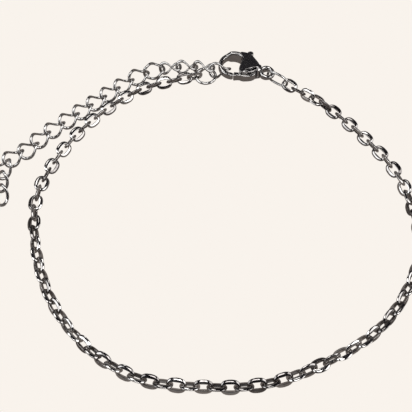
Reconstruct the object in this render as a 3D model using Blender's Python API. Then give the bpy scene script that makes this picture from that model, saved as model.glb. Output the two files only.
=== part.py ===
# A cable chain bracelet lying closed on a table: a loop of flattened oval links, a jump ring, an extension
# chain of twisted links, and a lobster clasp whose hook holds the extension chain's first link.
# Seen from above, +X is to the right, +Y is away from the viewer and +Z is up.

import math

import bmesh
import bpy
import numpy as np
from mathutils import Matrix, Vector

MM = 0.001

# Cable chain: flattened oval links, each turned a quarter turn from the last.
LINK_LENGTH = 2.70 * MM
LINK_WIDTH = 2.15 * MM
LINK_SIDE_METAL = 0.58 * MM
LINK_END_METAL = 0.445 * MM
LINK_THICKNESS = 0.48 * MM
LINK_FLAT_SHARE = 0.62
SOLDER_THICKNESS = 0.06 * MM

# Extension chain: larger links of round wire, each twisted so that the chain lies flat. The first few links,
# round the jump ring and the hook, are twisted the other way.
CURB_LENGTH = 3.85 * MM
CURB_WIDTH = 3.00 * MM
CURB_WIRE = 0.46 * MM
CURB_END_TWIST = math.radians(-45.0)
CURB_FIRST_LINKS = 4
CURB_ROUTE_PITCH = 2.93 * MM

# Jump ring, lying level, and the oval connector link.
RING_OUTER = 3.74 * MM
RING_WIRE = 0.46 * MM
CONNECTOR_LENGTH = 4.10 * MM
CONNECTOR_WIDTH = 2.30 * MM
CONNECTOR_WIRE = 0.40 * MM
CONNECTOR_LIFT = 0.10 * MM
CONNECTOR_TURN = math.radians(-78.0)
LINK_CLEARANCE = 0.18 * MM

# Lobster clasp. Its own plan has the hook's centre at (0, 0) and the tail ring along +X.
CLASP_HEIGHT = 2.40 * MM
PLATE_THICKNESS = 0.45 * MM
LEVER_CLEARANCE = 0.08 * MM
EDGE_CHAMFER = 0.12 * MM
HOOK_RADIUS = 2.60 * MM
HOOK_BAND = 0.80 * MM
HOOK_HEIGHT = 1.15 * MM
TAIL_DISTANCE = 5.71 * MM
TAIL_OUTER = 2.70 * MM
TAIL_WIRE = 0.74 * MM
TAIL_HEIGHT = 0.70 * MM
TAIL_ROOT_HEIGHT = 1.45 * MM
RIVET_RADIUS = 0.35 * MM
RIVET_CLEARANCE = 0.08 * MM
PIVOT = Vector((0.508 * TAIL_DISTANCE, -0.269 * HOOK_RADIUS))
GATE_GAP = 0.10 * MM
THUMB_TAB_REACH = 0.95 * MM
SLOT_START_SHARE = 0.196
SLOT_STOP_SHARE = 0.727

# Places in plan, read from the photograph.
RING_CENTRE = Vector((-0.06, 24.71, 1.16)) * MM
CLASP_CENTRE = Vector((4.63, 26.80, 0.0)) * MM
CLASP_TURN = math.radians(-15.6)
CONNECTOR_HEADING = math.radians(-34.8)
FIRST_LINK_HEADING = math.radians(178.1)
FIRST_LINK_PLAY = 0.485 * MM

# The cable chain's route in plan: hand-chosen points round the left side to the clasp. The first link hangs
# in the jump ring and the last in the connector, so the route's two ends are worked out from them.
CHAIN_ROUTE = [
    (-10.3, 22.15), (-17.1, 16.7), (-22.3, 9.5), (-25.2, 1.2), (-24.5, -7.1), (-21.6, -15.2), (-16.4, -22.0),
    (-9.3, -26.6), (-0.9, -27.9), (7.9, -27.5), (16.2, -24.5), (23.6, -19.7), (28.9, -12.4), (30.9, -7.0),
    (30.7, -1.8), (29.7, 3.5), (24.6, 12.4), (17.6, 19.9),
]

# How the cable chain rolls about its own line: share of the chain, roll of the even links in degrees.
CHAIN_ROLL = [
    (0.00, -10.0), (0.03, -30.0), (0.20, -30.0), (0.29, 45.0), (0.57, 45.0), (0.62, 75.0), (0.67, 45.0),
    (0.82, 45.0), (0.86, 65.0), (0.94, 65.0), (0.965, 85.0), (1.00, 160.0),
]

# The extension chain's route: link number, place in plan, lift above the table and roll in degrees. Row 0
# isn't a link: it only aims the first one, which stands on edge and holds the clasp's hook and the jump ring.
# The numbers count links that reach CURB_ROUTE_PITCH from hole to hole. Shorter links close up and more of
# them fit the route.
EXTENDER_ROUTE = [
    (0, 3.63, 26.60, 0.33, 90.0), (1, 2.30, 25.72, 0.02, 90.0), (2, -0.37, 26.17, 0.18, 59.0),
    (3, -3.18, 26.31, 0.04, 71.0), (4, -5.95, 26.15, 0.13, 59.0), (5, -8.65, 25.65, 0.08, -31.0),
    (6, -11.15, 24.55, 0.12, -15.0), (7, -13.50, 23.00, 0.06, 0.0), (9, -17.75, 19.45, 0.0, 0.0),
    (11, -21.85, 15.80, 0.0, 0.0), (13, -25.95, 11.95, 0.0, 0.0), (14, -27.60, 9.85, 0.0, 0.0),
    (15, -29.75, 8.35, 0.0, 0.0), (16, -31.10, 6.15, 0.0, 0.0), (17, -31.35, 3.75, 0.0, 0.0),
    (18, -31.00, 1.30, 0.0, 0.0),
]

# Quarter outlines of an oval link, as shares of its half length and half width, from its end to its side.
OUTER_QUARTER = [(1.00, 0.27), (0.77, 0.73), (0.29, 1.00)]
INNER_QUARTER = [(1.00, 0.54), (0.79, 0.90), (0.30, 1.00)]
CURB_INNER_QUARTER = [(1.00, 0.26), (0.76, 0.72), (0.28, 1.00)]

# The clasp's plan, counter-clockwise: shares of TAIL_DISTANCE along x and of HOOK_RADIUS along y.
PLATE_FRONT = [
    (0.214, 0.519), (0.210, -0.500), (0.245, -0.662), (0.368, -0.712), (0.543, -0.546), (0.674, -0.327),
    (0.762, -0.200),
]
PLATE_BACK = [
    (0.762, 0.200), (0.692, 0.365), (0.587, 0.596), (0.455, 0.846), (0.342, 0.962), (0.210, 0.992),
    (0.105, 0.946), (0.096, 0.808), (0.149, 0.692),
]
NECK_SHARE = 0.162
LEVER_HEEL = [
    (0.342, -0.877), (0.508, -0.815), (0.639, -0.662), (0.704, -0.481), (0.692, -0.212), (0.622, 0.0),
    (0.543, 0.173),
]
LEVER_ARM = [(0.368, 0.192), (0.350, -0.231), (0.306, -0.481), (0.236, -0.615)]

# The thumb tab: share of TAIL_DISTANCE along x, share of THUMB_TAB_REACH beyond the hook's radius along y.
THUMB_TAB = [
    (0.429, 0.0), (0.455, 0.19), (0.452, 0.79), (0.403, 1.0), (0.324, 0.92), (0.280, 0.53), (0.280, 0.19),
    (0.294, 0.0),
]

# Wire sections: share of the way from the hole to the outside, share of the half thickness.
FLAT_SECTION = [(0.0, -1.0), (0.0, 1.0), (LINK_FLAT_SHARE, 1.0), (1.0, 0.0), (LINK_FLAT_SHARE, -1.0)]
ROUND_SECTION = [(0.0, -0.5), (0.0, 0.5), (0.5, 1.0), (1.0, 0.5), (1.0, -0.5), (0.5, -1.0)]


def oval(quarter, half_length, half_width):
    """Points of an oval, counter-clockwise from its +X end, from one quarter's shares."""
    first = [(half_length * along, half_width * across) for along, across in quarter]
    upper = first + [(-x, y) for x, y in reversed(first)]
    return np.array(upper + [(x, -y) for x, y in reversed(upper)])


def link_rings(length, width, side_metal, end_metal, thickness, inner_quarter, section):
    """Corner points of one flat link, as an array: step round the link, corner of the wire, xyz."""
    outside = oval(OUTER_QUARTER, length / 2, width / 2)
    hole = oval(inner_quarter, length / 2 - end_metal, width / 2 - side_metal)
    outward = np.array([share for share, _ in section])
    height = np.array([share for _, share in section]) * thickness / 2
    plan = hole[:, None, :] + outward[None, :, None] * (outside - hole)[:, None, :]
    return np.concatenate([plan, np.broadcast_to(height[None, :, None], plan.shape[:2] + (1,))], axis=2)


def twist_link(rings, hole_half_length, end_twist):
    """Turn the link's points about its length by more and more, up to end_twist at the hole's ends."""
    share = np.clip(rings[..., 0] / hole_half_length, -1.0, 1.0)
    angle = end_twist * np.sin(share * math.pi / 2)
    across = rings[..., 1] * np.cos(angle) - rings[..., 2] * np.sin(angle)
    height = rings[..., 1] * np.sin(angle) + rings[..., 2] * np.cos(angle)
    return np.stack([rings[..., 0], across, height], axis=-1)


def smooth_curve(keys, values, at):
    """A smooth curve (Catmull-Rom) through values given at increasing keys, read at the numbers in at."""
    keys = np.asarray(keys, float)
    values = np.asarray(values, float)
    slopes = np.gradient(values, keys, axis=0)
    step = np.clip(np.searchsorted(keys, at, side="right") - 1, 0, len(keys) - 2)
    span = (keys[step + 1] - keys[step])[:, None]
    t = (np.asarray(at)[:, None] - keys[step][:, None]) / span
    start = values[step] * (2 * t**3 - 3 * t**2 + 1) + slopes[step] * span * (t**3 - 2 * t**2 + t)
    return start + values[step + 1] * (3 * t**2 - 2 * t**3) + slopes[step + 1] * span * (t**3 - t**2)


def even_places(points, pitch):
    """Places a pitch apart along a smooth curve through points, stretched a little to reach its end."""
    points = np.asarray(points, float)
    keys = np.concatenate([[0.0], np.cumsum(np.linalg.norm(np.diff(points, axis=0), axis=1))])
    fine = smooth_curve(keys, points, np.linspace(0.0, keys[-1], 4000))
    run = np.concatenate([[0.0], np.cumsum(np.linalg.norm(np.diff(fine, axis=0), axis=1))])
    count = round(run[-1] / pitch) + 1
    marks = np.linspace(0.0, run[-1], count)
    return np.stack([np.interp(marks, run, fine[:, axis]) for axis in range(points.shape[1])], axis=1)


def link_frame(ahead, roll):
    """Axes of a link as rows: along the chain, across the link, and square to its face."""
    along = ahead / np.linalg.norm(ahead)
    level = np.cross((0.0, 0.0, 1.0), along)
    level /= np.linalg.norm(level)
    upright = np.cross(along, level)
    across = math.cos(roll) * level + math.sin(roll) * upright
    return np.array([along, across, np.cross(along, across)])


def rest_height(rings, roll):
    """How high a link's centre lies when its lowest corner touches the table."""
    return -np.min(rings[..., 1] * math.sin(roll) + rings[..., 2] * math.cos(roll))


def place_links(rings, centres, rolls):
    """The link's points set at each centre, along the line through its neighbours and rolled about it."""
    aheads = np.gradient(centres, axis=0)
    return [rings @ link_frame(ahead, roll) + centre for ahead, roll, centre in zip(aheads, rolls, centres)]


def wire_faces(steps, corners, start, left_out):
    """Faces of a closed wire, as corner numbers counted from start, without the faces in left_out."""
    faces = []
    for step in range(steps):
        for corner in range(corners):
            if (step, corner) in left_out:
                continue
            after, beside = (step + 1) % steps, (corner + 1) % corners
            quad = [(step, corner), (after, corner), (after, beside), (step, beside)]
            faces.append([start + a * corners + b for a, b in quad])
    return faces


def solder_faces(points, loop, other):
    """Four faces that join two four-cornered holes, each corner to the nearest one that keeps the order."""
    turns = [[other[(first + way * k) % 4] for k in range(4)] for first in range(4) for way in (1, -1)]
    best = min(turns, key=lambda turn: sum(np.linalg.norm(points[a] - points[b]) for a, b in zip(loop, turn)))
    return [[loop[k], loop[(k + 1) % 4], best[(k + 1) % 4], best[k]] for k in range(4)]


def make_object(name, points, faces, colour, roughness):
    """A closed mesh object with outward faces and its own metal."""
    mesh = bpy.data.meshes.new(name)
    mesh.from_pydata([tuple(point) for point in points], [], faces)
    shape = bmesh.new()
    shape.from_mesh(mesh)
    bmesh.ops.recalc_face_normals(shape, faces=shape.faces)
    shape.to_mesh(mesh)
    shape.free()
    mesh.shade_smooth()
    mesh.set_sharp_from_angle(angle=math.radians(30.0))
    mesh.materials.append(metal(name, colour, roughness))
    thing = bpy.data.objects.new(name, mesh)
    bpy.context.collection.objects.link(thing)
    return thing


def metal(name, colour, roughness):
    """A polished steel of its own for one piece."""
    material = bpy.data.materials.new(name)
    material.use_nodes = True
    shader = material.node_tree.nodes["Principled BSDF"]
    shader.inputs["Base Color"].default_value = colour + (1.0,)
    shader.inputs["Metallic"].default_value = 1.0
    shader.inputs["Roughness"].default_value = roughness
    return material


DARK_STEEL = (0.30, 0.285, 0.28)
BRIGHT_STEEL = (0.55, 0.54, 0.53)


def linked_chain(name, links):
    """One body of links, each joined to the next by a solder spot between the ends of their holes."""
    steps, corners = links[0].shape[:2]
    points = np.concatenate([link.reshape(-1, 3) for link in links])
    per_link = steps * corners
    far_end, near_end = steps - 1, steps // 2 - 1
    faces = []
    for number in range(len(links)):
        left_out = set()
        if number < len(links) - 1:
            left_out.add((far_end, 0))
        if number > 0:
            left_out.add((near_end, 0))
        faces += wire_faces(steps, corners, number * per_link, left_out)

    def hole(number, step):
        """The four corners left where the inner face of this step is missing."""
        after = (step + 1) % steps
        base = number * per_link
        here = base + step * corners
        there = base + after * corners
        return [here, there, there + 1, here + 1]

    for number in range(len(links) - 1):
        faces += solder_faces(points, hole(number, far_end), hole(number + 1, near_end))
    return make_object(name, points, faces, DARK_STEEL, 0.22)


def level_direction(heading):
    """A unit step in plan."""
    return np.array([math.cos(heading), math.sin(heading)])


def chain_start():
    """Place in plan of the first link, whose end lies loosely inside the jump ring."""
    touching = RING_OUTER / 2 - RING_WIRE + LINK_LENGTH / 2 - LINK_END_METAL
    return np.array(RING_CENTRE[:2]) + (touching - FIRST_LINK_PLAY) * level_direction(FIRST_LINK_HEADING)


def connector_start():
    """How far the connector's near end lies from the tail ring's centre, towards the chain."""
    return TAIL_OUTER / 2 - TAIL_WIRE - LINK_CLEARANCE - CONNECTOR_WIRE


def chain_end():
    """Place in plan of the last link, whose end lies inside the connector's far end."""
    far_hole_end = connector_start() + CONNECTOR_LENGTH - CONNECTOR_WIRE
    reach = far_hole_end - LINK_CLEARANCE + LINK_LENGTH / 2 - LINK_END_METAL
    return np.array(tail_centre()[:2]) + reach * level_direction(CONNECTOR_HEADING)


def make_cable_chain():
    """The loop of cable links, in two halves that meet at the front."""
    rings = link_rings(LINK_LENGTH, LINK_WIDTH, LINK_SIDE_METAL, LINK_END_METAL, LINK_THICKNESS,
                       INNER_QUARTER, FLAT_SECTION)
    pitch = LINK_LENGTH - 2 * LINK_END_METAL - SOLDER_THICKNESS
    route = np.vstack([chain_start(), np.array(CHAIN_ROUTE) * MM, chain_end()])
    plan = even_places(route, pitch)
    count = len(plan)
    shares = [share for share, _ in CHAIN_ROLL]
    base = np.radians(np.interp(np.linspace(0.0, 1.0, count), shares, [roll for _, roll in CHAIN_ROLL]))
    heights = [max(rest_height(rings, roll), rest_height(rings, roll + math.pi / 2)) for roll in base]
    centres = np.column_stack([plan, heights])
    rolls = base + np.where(np.arange(count) % 2 == 0, math.pi / 2, 0.0)
    links = place_links(rings, centres, rolls)
    half = count // 2
    return [linked_chain("chain_left", links[:half]), linked_chain("chain_right", links[half:])]


def make_extender():
    """The extension chain, each twisted link a piece of its own."""
    flat = link_rings(CURB_LENGTH, CURB_WIDTH, CURB_WIRE, CURB_WIRE, CURB_WIRE,
                      CURB_INNER_QUARTER, ROUND_SECTION)
    hole = CURB_LENGTH / 2 - CURB_WIRE
    rings = twist_link(flat, hole, CURB_END_TWIST)
    first_rings = twist_link(flat, hole, -CURB_END_TWIST)
    table = np.array(EXTENDER_ROUTE)
    ratio = (CURB_LENGTH - 2 * CURB_WIRE) / CURB_ROUTE_PITCH
    count = 1 + int((table[-1, 0] - 1.0) / ratio + 1e-6)
    rows = np.concatenate([[0.0], 1.0 + np.arange(count) * ratio])
    plan = smooth_curve(table[:, 0], table[:, 1:4] * MM, rows)
    rolls = np.radians(np.interp(rows, table[:, 0], table[:, 4]))
    kinds = [first_rings] * (CURB_FIRST_LINKS + 1) + [rings] * len(rows)
    heights = [rest_height(kind, roll) for kind, roll in zip(kinds, rolls)]
    centres = np.column_stack([plan[:, :2], plan[:, 2] + heights])
    first = place_links(first_rings, centres, rolls)[1:CURB_FIRST_LINKS + 1]
    links = list(first) + list(place_links(rings, centres, rolls)[CURB_FIRST_LINKS + 1:])
    steps, corners = rings.shape[:2]
    faces = wire_faces(steps, corners, 0, set())
    return [
        make_object("extender_link_%02d" % number, link.reshape(-1, 3), faces, DARK_STEEL, 0.20)
        for number, link in enumerate(links, 1)
    ]


def swept_wire(centres, outwards, widths, heights, sides, closed):
    """A wire of rounded section along level centres: widths across, heights up. Open wires get flat ends."""
    turn = (np.arange(sides) + 0.5) * 2 * math.pi / sides
    scale = 0.5 / math.cos(math.pi / sides)
    wide = np.cos(turn)[None, :, None] * outwards[:, None, :] * (np.asarray(widths) * scale)[:, None, None]
    tall = np.sin(turn)[None, :] * (np.asarray(heights) * scale)[:, None]
    points = centres[:, None, :] + wide
    points[..., 2] += tall
    steps = len(centres)
    left_out = set() if closed else {(steps - 1, corner) for corner in range(sides)}
    faces = wire_faces(steps, sides, 0, left_out)
    if not closed:
        faces.append(list(range(sides)))
        faces.append([(steps - 1) * sides + corner for corner in range(sides)])
    return points.reshape(-1, 3), faces


def arc(radius, start, stop, count):
    """Points on an arc about (0, 0), angles in degrees."""
    angles = np.radians(np.linspace(start, stop, count))
    return np.column_stack([np.cos(angles), np.sin(angles)]) * radius


def make_jump_ring():
    """The round ring, level, at the chain's start."""
    outward = np.column_stack([arc(1.0, 0.0, 360.0, 17)[:-1], np.zeros(16)])
    middle = outward * (RING_OUTER - RING_WIRE) / 2
    sizes = np.full(16, RING_WIRE)
    points, faces = swept_wire(middle, outward, sizes, sizes, 6, True)
    ring = make_object("jump_ring", points, faces, BRIGHT_STEEL, 0.12)
    ring.location = RING_CENTRE
    return ring


def clasp_place():
    """Where the clasp's own plan lies on the table."""
    return Matrix.Translation(CLASP_CENTRE) @ Matrix.Rotation(CLASP_TURN, 4, "Z")


def tail_centre():
    """The centre of the clasp's tail ring."""
    return clasp_place() @ Vector((TAIL_DISTANCE, 0.0, CLASP_HEIGHT / 2))


def make_connector(last_centre):
    """The oval link from the tail ring to the chain's last link, turned about its length from that link."""
    tail = np.array(tail_centre())
    ahead = last_centre + (0.0, 0.0, CONNECTOR_LIFT) - tail
    flat = link_rings(CONNECTOR_LENGTH, CONNECTOR_WIDTH, CONNECTOR_WIRE, CONNECTOR_WIRE, CONNECTOR_WIRE,
                      INNER_QUARTER, ROUND_SECTION)
    middle = tail + ahead / np.linalg.norm(ahead) * (connector_start() + CONNECTOR_LENGTH / 2)
    roll = math.radians(CHAIN_ROLL[-1][1]) + CONNECTOR_TURN
    points = (flat @ link_frame(ahead, roll) + middle).reshape(-1, 3)
    return make_object("connector_link", points, wire_faces(*flat.shape[:2], 0, set()), BRIGHT_STEEL, 0.12)


def slab(name, outline, low, high, chamfer):
    """A flat plate between two heights, its top and bottom edges chamfered."""
    outline = np.asarray(outline)
    edges = np.roll(outline, -1, axis=0) - outline
    normals = np.column_stack([edges[:, 1], -edges[:, 0]]) / np.linalg.norm(edges, axis=1)[:, None]
    corners = normals + np.roll(normals, 1, axis=0)
    corners /= np.maximum((corners * normals).sum(axis=1), 0.4)[:, None]
    inset = outline - corners * chamfer
    levels = [(inset, low), (outline, low + chamfer), (outline, high - chamfer), (inset, high)]
    points = np.concatenate([np.column_stack([ring, np.full(len(ring), z)]) for ring, z in levels])
    count = len(outline)
    faces = [list(range(count)), [3 * count + k for k in range(count)]]
    for level in range(3):
        for k in range(count):
            after = (k + 1) % count
            low_row, high_row = level * count, (level + 1) * count
            faces.append([low_row + k, low_row + after, high_row + after, high_row + k])
    return make_object(name, points, faces, DARK_STEEL, 0.25)


def tool(thing):
    """Mark a shape that only joins or cuts another."""
    thing.hide_render = True
    thing.display_type = "WIRE"
    return thing


def combine(body, operation, other):
    """Join a tool shape to a body, or cut it away."""
    modifier = body.modifiers.new(other.name, "BOOLEAN")
    modifier.operation = operation
    modifier.object = other
    modifier.solver = "EXACT"


def tip_angle(radius, reach):
    """Angle in degrees at which the hook's circle of this radius is a given reach from the lever's pivot."""
    distance = PIVOT.length
    spread = math.acos((radius**2 + distance**2 - reach**2) / (2 * radius * distance))
    return math.degrees(math.atan2(PIVOT.y, PIVOT.x) - spread)


def gate_reach():
    """Distance from the pivot to the gate's tip, where gate and hook meet."""
    middle = arc(HOOK_RADIUS - HOOK_BAND / 2, -80.0, -80.0, 1)[0]
    return float(np.linalg.norm(middle - np.array(PIVOT)))


def clasp_plan(shares):
    """Points of the clasp's plan from their shares of its length and of the hook's radius."""
    return [(along * TAIL_DISTANCE, across * HOOK_RADIUS) for along, across in shares]


def plate_outline():
    """Plan of the clasp's two plates: the hook's root, the wide body and the neck, counter-clockwise."""
    neck = TAIL_DISTANCE - TAIL_OUTER / 2 + TAIL_WIRE / 2
    half = NECK_SHARE * HOOK_RADIUS
    return clasp_plan(PLATE_FRONT) + [(neck, -half), (neck, half)] + clasp_plan(PLATE_BACK)


def lever_outline():
    """Plan of the lever, counter-clockwise: the gate's outer edge, the heel, the tab, the arm and back."""
    reach = gate_reach()
    outer_tip = tip_angle(HOOK_RADIUS, reach)
    inner_tip = tip_angle(HOOK_RADIUS - HOOK_BAND * 0.9, reach)
    gate = list(arc(HOOK_RADIUS, outer_tip, outer_tip + 16.0, 4))
    inner = list(arc(HOOK_RADIUS - HOOK_BAND * 0.9, inner_tip + 14.0, inner_tip, 4))
    tab = [(along * TAIL_DISTANCE, HOOK_RADIUS + beyond * THUMB_TAB_REACH) for along, beyond in THUMB_TAB]
    return gate + clasp_plan(LEVER_HEEL) + tab + clasp_plan(LEVER_ARM) + inner


def make_clasp_body():
    """Hook, plates, rivet, neck and tail ring as one piece of metal."""
    half = CLASP_HEIGHT / 2
    body = slab("clasp_body", plate_outline(), 0.0, CLASP_HEIGHT, EDGE_CHAMFER)

    reach = gate_reach() + GATE_GAP
    steps = 17
    outer = arc(HOOK_RADIUS, 62.0, 360.0 + tip_angle(HOOK_RADIUS, reach), steps)
    inner = arc(HOOK_RADIUS - HOOK_BAND, 62.0, 360.0 + tip_angle(HOOK_RADIUS - HOOK_BAND, reach), steps)
    middle = np.column_stack([(outer + inner) / 2, np.full(steps, half)])
    outward = np.column_stack([outer - inner, np.zeros(steps)])
    widths = np.linalg.norm(outward, axis=1)
    outward /= widths[:, None]
    heights = np.interp(np.linspace(0.0, 1.0, steps), [0.0, 0.25, 0.5, 1.0],
                        [CLASP_HEIGHT * 0.97, CLASP_HEIGHT * 0.85, HOOK_HEIGHT, HOOK_HEIGHT])
    points, faces = swept_wire(middle, outward, widths, heights, 8, False)
    combine(body, "UNION", tool(make_object("hook_shape", points, faces, DARK_STEEL, 0.25)))

    slot_low, slot_high = PLATE_THICKNESS, CLASP_HEIGHT - PLATE_THICKNESS
    slot_start, slot_stop = SLOT_START_SHARE * TAIL_DISTANCE, SLOT_STOP_SHARE * TAIL_DISTANCE
    wide = HOOK_RADIUS * 1.5
    box = [(slot_start, -wide), (slot_stop, -wide), (slot_stop, wide), (slot_start, wide)]
    combine(body, "DIFFERENCE", tool(slab("slot_shape", box, slot_low, slot_high, 0.0)))

    rivet = [(PIVOT.x + x, PIVOT.y + y) for x, y in arc(RIVET_RADIUS, 0.0, 337.5, 16)]
    rivet_low, rivet_high = PLATE_THICKNESS / 2, CLASP_HEIGHT - PLATE_THICKNESS / 2
    combine(body, "UNION", tool(slab("rivet_shape", rivet, rivet_low, rivet_high, 0.0)))

    outward = np.column_stack([arc(1.0, 0.0, 360.0, 17)[:-1], np.zeros(16)])
    middle = outward * (TAIL_OUTER - TAIL_WIRE) / 2 + np.array([TAIL_DISTANCE, 0.0, half])
    away = 0.5 - outward[:, :2] @ level_direction(CONNECTOR_HEADING - CLASP_TURN) / 2
    heights = TAIL_HEIGHT + (TAIL_ROOT_HEIGHT - TAIL_HEIGHT) * away
    points, faces = swept_wire(middle, outward, np.full(16, TAIL_WIRE), heights, 8, True)
    combine(body, "UNION", tool(make_object("tail_shape", points, faces, DARK_STEEL, 0.25)))
    return body


def make_clasp_lever():
    """The gate and its thumb tab, bored for the rivet. Its own origin is the pivot."""
    low = PLATE_THICKNESS + LEVER_CLEARANCE
    high = CLASP_HEIGHT - PLATE_THICKNESS - LEVER_CLEARANCE
    outline = [(x - PIVOT.x, y - PIVOT.y) for x, y in lever_outline()]
    lever = slab("clasp_lever", outline, low, high, EDGE_CHAMFER)
    hole = arc(RIVET_RADIUS + RIVET_CLEARANCE, 0.0, 337.5, 16)
    bore = tool(slab("bore_shape", hole, 0.0, CLASP_HEIGHT, 0.0))
    combine(lever, "DIFFERENCE", bore)
    return lever, bore


def make_clasp():
    """The clasp's pieces set on the table, the lever and its bore on an empty at the pivot."""
    place = clasp_place()
    body = make_clasp_body()
    lever, bore = make_clasp_lever()
    pivot = bpy.data.objects.new("clasp_pivot", None)
    bpy.context.collection.objects.link(pivot)
    pivot.matrix_world = place @ Matrix.Translation((PIVOT.x, PIVOT.y, 0.0))
    for thing in (lever, bore):
        thing.parent = pivot
    for thing in [body] + [modifier.object for modifier in body.modifiers]:
        thing.matrix_world = place
    return [body, lever]


def centre_on_origin(things):
    """Move everything until the origin is under the bracelet's middle and its lowest point on the table."""
    bpy.context.view_layer.update()
    corners = np.array([thing.matrix_world @ Vector(corner) for thing in things for corner in thing.bound_box])
    middle = (corners.min(axis=0) + corners.max(axis=0)) / 2
    shift = Vector((-middle[0], -middle[1], -corners[:, 2].min()))
    for thing in bpy.context.scene.objects:
        if thing.parent is None:
            thing.location = thing.location + shift


def main():
    """Build the bracelet in an empty scene."""
    for thing in list(bpy.data.objects):
        bpy.data.objects.remove(thing, do_unlink=True)
    chain = make_cable_chain()
    last = np.array([vertex.co for vertex in chain[1].data.vertices])
    per_link = len(OUTER_QUARTER) * 4 * len(FLAT_SECTION)
    connector = make_connector(last[-per_link:].mean(axis=0))
    things = chain + make_extender() + [make_jump_ring(), connector] + make_clasp()
    centre_on_origin(things)


main()
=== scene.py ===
# %% [markdown]
# A cable chain bracelet, dressed in Blender. The real one is polished dark steel: flattened cable links, an
# extension chain of twisted round links, a jump ring, an oval connector and a lobster clasp. Everything hangs on the
# imported model, which gives each piece its body and its place, so it is loaded first.

# %% Load the frame
import math

import bpy
import numpy as np
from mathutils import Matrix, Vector


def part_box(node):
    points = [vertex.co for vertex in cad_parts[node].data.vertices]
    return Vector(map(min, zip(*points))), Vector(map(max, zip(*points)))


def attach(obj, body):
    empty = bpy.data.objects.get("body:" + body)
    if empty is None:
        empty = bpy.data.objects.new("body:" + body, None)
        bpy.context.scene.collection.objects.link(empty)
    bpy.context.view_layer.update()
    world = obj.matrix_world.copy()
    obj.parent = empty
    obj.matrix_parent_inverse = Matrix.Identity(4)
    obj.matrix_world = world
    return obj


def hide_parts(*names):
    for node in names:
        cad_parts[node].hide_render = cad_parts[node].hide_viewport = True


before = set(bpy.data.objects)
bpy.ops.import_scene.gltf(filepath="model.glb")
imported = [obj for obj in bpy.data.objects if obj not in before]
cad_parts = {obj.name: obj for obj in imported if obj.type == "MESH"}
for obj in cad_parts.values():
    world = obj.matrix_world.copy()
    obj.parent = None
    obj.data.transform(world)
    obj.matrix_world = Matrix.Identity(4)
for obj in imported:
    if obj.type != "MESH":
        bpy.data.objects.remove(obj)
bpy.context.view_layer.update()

MM = 0.001

# %% [markdown]
# The chains were laid on the table as a few given points for each route and a few rolls, in a plan whose
# origin lies in the middle of the loop. The imported model was then moved to stand on its own origin. The jump ring's
# box gives that small move, so every later piece can be worked out in the plan and shifted once.

# %% Routes and places in plan
RING_CENTRE = np.array([-0.06, 24.71, 1.16]) * MM
ring_low, ring_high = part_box("jump_ring")
SHIFT = np.array([(a + b) / 2 for a, b in zip(ring_low, ring_high)]) - RING_CENTRE

LINK_LENGTH = 2.70 * MM
LINK_WIDTH = 2.15 * MM
LINK_SIDE_METAL = 0.58 * MM
LINK_END_METAL = 0.445 * MM
LINK_THICKNESS = 0.48 * MM
SOLDER_THICKNESS = 0.06 * MM
LINK_PITCH = LINK_LENGTH - 2 * LINK_END_METAL - SOLDER_THICKNESS
CURB_LENGTH = 3.85 * MM
CURB_WIDTH = 3.00 * MM
CURB_WIRE = 0.46 * MM
CURB_END_TWIST = math.radians(-45.0)
CURB_FIRST_LINKS = 4
RING_OUTER = 3.74 * MM
RING_WIRE = 0.46 * MM
CONNECTOR_LENGTH = 4.10 * MM
CONNECTOR_WIDTH = 2.30 * MM
CONNECTOR_WIRE = 0.40 * MM
CONNECTOR_LIFT = 0.10 * MM
CONNECTOR_ROLL = math.radians(160.0 - 78.0)
LINK_CLEARANCE = 0.18 * MM
FIRST_LINK_HEADING = math.radians(178.1)
FIRST_LINK_PLAY = 0.485 * MM
CONNECTOR_HEADING = math.radians(-34.8)

CLASP_CENTRE = np.array([4.63, 26.80, 0.0]) * MM
CLASP_TURN = math.radians(-15.6)
CLASP_HEIGHT = 2.40 * MM
TAIL_DISTANCE = 5.71 * MM
TAIL_OUTER = 2.70 * MM
TAIL_WIRE = 0.74 * MM
TAIL_HEIGHT = 0.70 * MM
TAIL_ROOT_HEIGHT = 1.45 * MM

CHAIN_ROUTE = [
    (-10.3, 22.15), (-17.1, 16.7), (-22.3, 9.5), (-25.2, 1.2), (-24.5, -7.1), (-21.6, -15.2), (-16.4, -22.0),
    (-9.3, -26.6), (-0.9, -27.9), (7.9, -27.5), (16.2, -24.5), (23.6, -19.7), (28.9, -12.4), (30.9, -7.0),
    (30.7, -1.8), (29.7, 3.5), (24.6, 12.4), (17.6, 19.9),
]
CHAIN_ROLL = [
    (0.00, -10.0), (0.03, -30.0), (0.20, -30.0), (0.29, 45.0), (0.57, 45.0), (0.62, 75.0), (0.67, 45.0),
    (0.82, 45.0), (0.86, 65.0), (0.94, 65.0), (0.965, 85.0), (1.00, 160.0),
]
EXTENDER_ROUTE = [
    (0, 3.63, 26.60, 0.33, 90.0), (1, 2.30, 25.72, 0.02, 90.0), (2, -0.37, 26.17, 0.18, 59.0),
    (3, -3.18, 26.31, 0.04, 71.0), (4, -5.95, 26.15, 0.13, 59.0), (5, -8.65, 25.65, 0.08, -31.0),
    (6, -11.15, 24.55, 0.12, -15.0), (7, -13.50, 23.00, 0.06, 0.0), (9, -17.75, 19.45, 0.0, 0.0),
    (11, -21.85, 15.80, 0.0, 0.0), (13, -25.95, 11.95, 0.0, 0.0), (14, -27.60, 9.85, 0.0, 0.0),
    (15, -29.75, 8.35, 0.0, 0.0), (16, -31.10, 6.15, 0.0, 0.0), (17, -31.35, 3.75, 0.0, 0.0),
    (18, -31.00, 1.30, 0.0, 0.0),
]
print("shift from plan to frame in mm:", np.round(SHIFT / MM, 4))

# %% [markdown]
# Every link is one closed surface of two parameters: the way round the link and the way round its wire. A link's
# plan is a superellipse, the curve between an ellipse and a rectangle, and so is its hole, only squarer. The wire's
# section is then carried between the two, which gives the crescent flanks that catch the light on a real cable link.


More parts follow.
